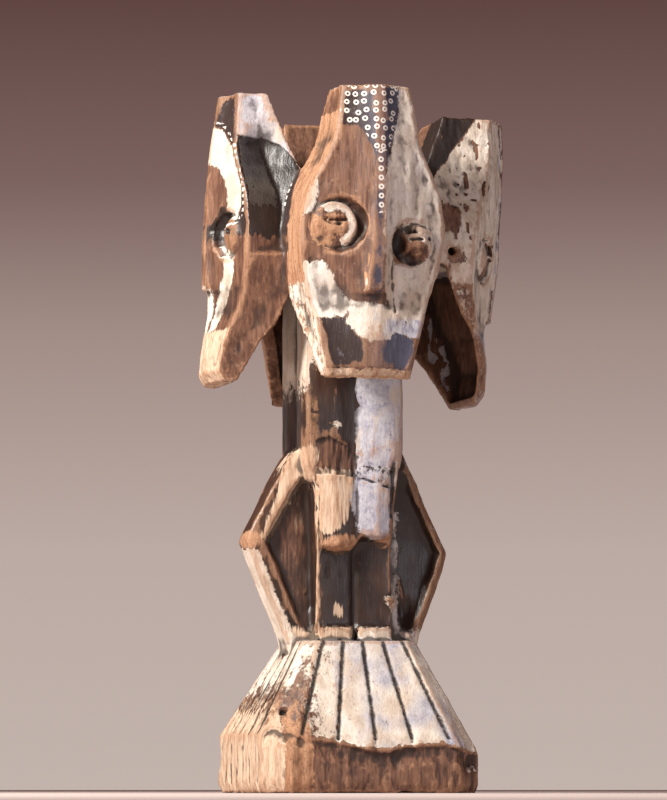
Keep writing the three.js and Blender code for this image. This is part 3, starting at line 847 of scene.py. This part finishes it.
def scattered(size, seed_shift=0.0):
    """Distance to the nearest of a loose grid of dots on the front face, in parts of the spacing."""
    split_axes = tree.nodes.new("ShaderNodeSeparateXYZ")
    feed(split_axes.inputs[0], stretched(size))
    joined = tree.nodes.new("ShaderNodeCombineXYZ")
    feed(joined.inputs[0], split_axes.outputs[0])
    feed(joined.inputs[1], maths("ADD", split_axes.outputs[2], seed_shift))
    cells = tree.nodes.new("ShaderNodeTexVoronoi")
    cells.voronoi_dimensions = "2D"
    feed(cells.inputs["Vector"], joined.outputs[0])
    feed(cells.inputs["Scale"], 1.0)
    feed(cells.inputs["Randomness"], 0.45)
    return cells.outputs["Distance"]


def ring_of(distance, radius, half_line):
    off_line = maths("ABSOLUTE", maths("SUBTRACT", distance, radius))
    wobble = maths("MULTIPLY_ADD", fine_flakes, 0.10, off_line)
    return maths("SUBTRACT", 1.0, between(wobble, half_line, half_line + 0.06))


rings = ring_of(scattered(DOT_SPACING, 0.3), 0.22, 0.11)
white = (0.72, 0.66, 0.60, 1)
colour = blend(colour, white, times(rings, between(zone("dots"), -0.2, 0.3)))

up_axis = tree.nodes.new("ShaderNodeSeparateXYZ")
feed(up_axis.inputs[0], stretched(1.0))
row = maths("FRACT", maths("DIVIDE", up_axis.outputs[2], 3.9))
row = times(maths("ABSOLUTE", maths("SUBTRACT", row, 0.5)), 3.9)
column = maths("ABSOLUTE", maths("ADD", up_axis.outputs[0], 1.0))
from_centre = maths("SQRT", maths("ADD", times(row, row), times(column, column)))
file_ring = maths("SUBTRACT", 1.0, between(maths("ABSOLUTE", maths("SUBTRACT", from_centre, 0.85)), 0.25, 0.5))
colour = blend(colour, white, times(file_ring, between(zone("ridge_dots"), -0.1, 0.3)))

dash_row = maths("FRACT", maths("DIVIDE", up_axis.outputs[2], 2.9))
dash = between(maths("MULTIPLY_ADD", fine_flakes, 0.4, dash_row), 0.62, 0.72)
colour = blend(colour, white, times(dash, between(zone("dashes"), 0.2, 0.6)))
feed(surface.inputs["Base Color"], colour)

# %% Gloss and fine relief
gloss = maths("MULTIPLY_ADD", fibre_mix, 0.25, 0.24)
gloss = maths("MULTIPLY_ADD", brown_cover, 0.16, gloss)
dull = maths("MAXIMUM", maths("MAXIMUM", clay_cover, bare_cover), orange_cover)
gloss = maths("MULTIPLY_ADD", dull, 0.36, gloss)
feed(surface.inputs["Roughness"], maths("MINIMUM", gloss, 0.92))
feed(surface.inputs["Specular IOR Level"], 0.42)

relief = maths("MULTIPLY_ADD", fibres, 0.16, times(specks, 0.05))
relief = maths("MULTIPLY_ADD", times(clay_cover, fine_flakes), 0.30, relief)
relief = maths("MULTIPLY_ADD", clay_cover, 0.12, relief)
relief = maths("MULTIPLY_ADD", times(bare_cover, coarse_fibres), 0.55, relief)
relief = maths("MULTIPLY_ADD", split_cover, -0.5, relief)
bump = tree.nodes.new("ShaderNodeBump")
feed(bump.inputs["Strength"], 1.0)
feed(bump.inputs["Distance"], MM)
feed(bump.inputs["Height"], relief)
feed(surface.inputs["Normal"], bump.outputs["Normal"])
carving.data.materials.clear()
carving.data.materials.append(wood)
print("material nodes:", len(tree.nodes))

# %% [markdown]
# ## Floor and light
# The floor is plain and pale. The backdrop is the world's colour, pale near the floor and darkening upward: a painted
# falloff of light. A soft box above and to the left of the camera gives the strong side light of the photograph, and a
# weaker one on the right opens the shadows.

# %% Floor and backdrop
def plain_paper(name, colour):
    paper = bpy.data.materials.new(name)
    paper.use_nodes = True
    paper.node_tree.nodes["Principled BSDF"].inputs["Base Color"].default_value = colour
    paper.node_tree.nodes["Principled BSDF"].inputs["Roughness"].default_value = 0.95
    return paper


bpy.ops.mesh.primitive_plane_add(size=6, location=(0, 0, 0))
floor = bpy.context.object
floor.name = "floor"
floor.data.materials.append(plain_paper("floor_paper", (0.56, 0.46, 0.43, 1)))

world = bpy.data.worlds.new("studio")
world.use_nodes = True
bpy.context.scene.world = world
world_tree = world.node_tree
background = world_tree.nodes["Background"]
background.inputs["Strength"].default_value = 1.0
seen_from = world_tree.nodes.new("ShaderNodeTexCoord")
rise = world_tree.nodes.new("ShaderNodeSeparateXYZ")
world_tree.links.new(seen_from.outputs["Generated"], rise.inputs[0])
shade = world_tree.nodes.new("ShaderNodeValToRGB")
world_tree.links.new(rise.outputs[2], shade.inputs[0])
world_tree.links.new(shade.outputs[0], background.inputs["Color"])
# The backdrop is painted darker upward, standing in for light falling off.
ramp = shade.color_ramp.elements
ramp[0].position = 0.0
ramp[0].color = (0.54, 0.45, 0.41, 1)
ramp[1].position = 0.185
ramp[1].color = (0.110, 0.055, 0.050, 1)
for position, tone in ((0.055, (0.50, 0.405, 0.37, 1)), (0.105, (0.36, 0.265, 0.24, 1)), (0.14, (0.20, 0.125, 0.115, 1))):
    ramp.new(position).color = tone

# %% Lights


def soft_box(name, turn, rise, distance, size, power, colour):
    """An area light aimed at the middle of the figure, placed by its turn from the camera and its rise."""
    light = bpy.data.lights.new(name, "AREA")
    light.size = size
    light.energy = power
    light.color = colour
    lamp = bpy.data.objects.new(name, light)
    bpy.context.collection.objects.link(lamp)
    angle = CAMERA_TURN + math.radians(turn)
    away = Vector((math.sin(angle) * math.cos(rise), -math.cos(angle) * math.cos(rise), math.sin(rise)))
    target = Vector((0, 0, 0.17))
    lamp.matrix_world = Matrix.Translation(target + away * distance) @ away.to_track_quat("Z", "Y").to_matrix().to_4x4()
    return lamp


soft_box("key_light", -48, math.radians(34), 1.2, 0.22, 30, (1.0, 0.95, 0.89))
soft_box("fill_light", 40, math.radians(10), 1.5, 0.6, 4, (0.88, 0.92, 1.0))
bpy.context.scene.view_settings.view_transform = "Standard"

# %% Hand-over to the frame
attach(carving, "root")
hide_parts("carved_figure")
